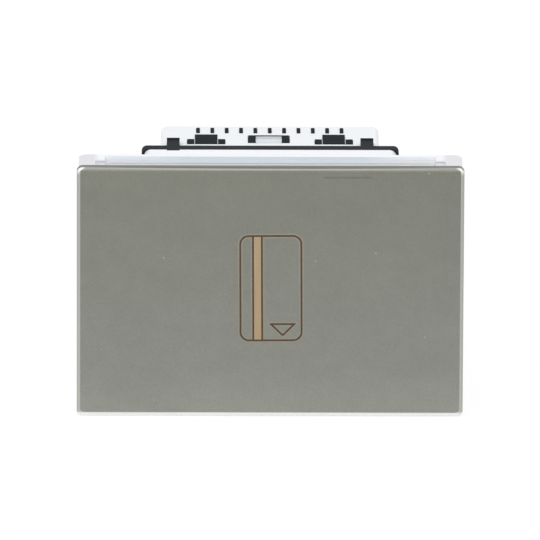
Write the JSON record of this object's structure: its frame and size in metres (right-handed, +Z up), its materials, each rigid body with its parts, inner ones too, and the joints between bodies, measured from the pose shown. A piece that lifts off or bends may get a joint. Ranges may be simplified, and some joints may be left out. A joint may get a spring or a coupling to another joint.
{
  "type": "hotel key card switch",
  "caption": "Wall switch worked by a key card: a wide card pocket with a metallic cover on a modular insert with a slotted housing, snap windows and screw terminals.",
  "frame": {"origin": "centre of the seat face, the back of the flange, which rests on the wall box's support frame", "axes": "+X to the right seen from the front, +Y to the back into the wall, +Z up"},
  "size_m": [0.066, 0.0405, 0.0442],
  "materials": {
    "cover_lacquer": "satin champagne metallic lacquer",
    "amber_window": "translucent tan",
    "white_pocket": "moulded satin white",
    "dark_frame": "moulded dark grey, glass filled",
    "white_housing": "moulded satin white",
    "lever_plastic": "natural acetal",
    "steel": "zinc plated",
    "spring_steel": "drawn wire",
    "clear_pipe": "clear polycarbonate",
    "led_lens": "tinted epoxy",
    "board_laminate": "green solder mask",
    "switch_case": "moulded black",
    "plunger_plastic": "moulded red",
    "tinned_brass": "tinned",
    "relay_case": "moulded black",
    "capacitor_yellow": "moulded yellow box",
    "capacitor_sleeve": "shrink sleeve",
    "varistor_lacquer": "epoxy dip",
    "resistor_lacquer": "flameproof lacquer",
    "diode_epoxy": "black epoxy",
    "terminal_plastic": "moulded grey polyamide",
    "cage_brass": "bare brass"
  },
  "bodies": {
    "switch_body": {"front_cover": "cover_lacquer", "icon_light_strip": "amber_window", "card_pocket": "white_pocket", "module_frame": "dark_frame", "rear_housing": "white_housing", "lever_pin": "steel", "lever_spring": "spring_steel", "led_light_pipe": "clear_pipe", "status_led": "led_lens", "circuit_board": "board_laminate", "board_screws": "steel", "microswitch_case": "switch_case", "microswitch_pins": "tinned_brass", "power_relay": "relay_case", "relay_pins": "tinned_brass", "film_capacitor": "capacitor_yellow", "electrolytic_capacitor": "capacitor_sleeve", "varistor": "varistor_lacquer", "fuse_resistor": "resistor_lacquer", "rectifier_diodes": "diode_epoxy", "control_chip": "diode_epoxy", "chip_resistors": "diode_epoxy", "terminal_block": "terminal_plastic", "terminal_contacts": "tinned_brass"},
    "lever": {"card_lever": "lever_plastic"},
    "plunger": {"microswitch_plunger": "plunger_plastic"},
    "cage_1": {"terminal_cage_1": "cage_brass"},
    "cage_2": {"terminal_cage_2": "cage_brass"},
    "cage_3": {"terminal_cage_3": "cage_brass"},
    "cage_4": {"terminal_cage_4": "cage_brass"},
    "screw_1": {"terminal_screw_1": "steel"},
    "screw_2": {"terminal_screw_2": "steel"},
    "screw_3": {"terminal_screw_3": "steel"},
    "screw_4": {"terminal_screw_4": "steel"}
  },
  "joints": [
    {"name": "lever_swing", "type": "hinge", "parent": "switch_body", "child": "lever", "pos_m": [0, -0.00425, 0.0005], "axis": [1, 0, 0], "range_deg": [0, 10], "stiffness_Nm_per_rad": 0.04, "springref_deg": -5.73, "deforming": ["lever_spring"]},
    {"name": "plunger_travel", "type": "slide", "parent": "switch_body", "child": "plunger", "axis": [0, 1, 0], "range_m": [0, 0.0009]},
    {"name": "screw_1_turn", "type": "hinge", "parent": "switch_body", "child": "screw_1", "pos_m": [-0.01125, 0.0222, -0.0132], "axis": [0, -1, 0], "range_deg": [0, 2160]},
    {"name": "screw_2_turn", "type": "hinge", "parent": "switch_body", "child": "screw_2", "pos_m": [-0.00375, 0.0222, -0.0132], "axis": [0, -1, 0], "range_deg": [0, 2160]},
    {"name": "screw_3_turn", "type": "hinge", "parent": "switch_body", "child": "screw_3", "pos_m": [0.00375, 0.0222, -0.0132], "axis": [0, -1, 0], "range_deg": [0, 2160]},
    {"name": "screw_4_turn", "type": "hinge", "parent": "switch_body", "child": "screw_4", "pos_m": [0.01125, 0.0222, -0.0132], "axis": [0, -1, 0], "range_deg": [0, 2160]},
    {"name": "cage_1_lift", "type": "slide", "parent": "switch_body", "child": "cage_1", "axis": [0, 1, 0], "range_m": [0, 0.003]},
    {"name": "cage_2_lift", "type": "slide", "parent": "switch_body", "child": "cage_2", "axis": [0, 1, 0], "range_m": [0, 0.003]},
    {"name": "cage_3_lift", "type": "slide", "parent": "switch_body", "child": "cage_3", "axis": [0, 1, 0], "range_m": [0, 0.003]},
    {"name": "cage_4_lift", "type": "slide", "parent": "switch_body", "child": "cage_4", "axis": [0, 1, 0], "range_m": [0, 0.003]}
  ],
  "couplings": [
    {"joint": "plunger_travel", "follows": "lever_swing", "m_per_rad": 0.005},
    {"joint": "screw_1_turn", "follows": "cage_1_lift", "rad_per_m": 12566},
    {"joint": "screw_2_turn", "follows": "cage_2_lift", "rad_per_m": 12566},
    {"joint": "screw_3_turn", "follows": "cage_3_lift", "rad_per_m": 12566},
    {"joint": "screw_4_turn", "follows": "cage_4_lift", "rad_per_m": 12566}
  ]
}
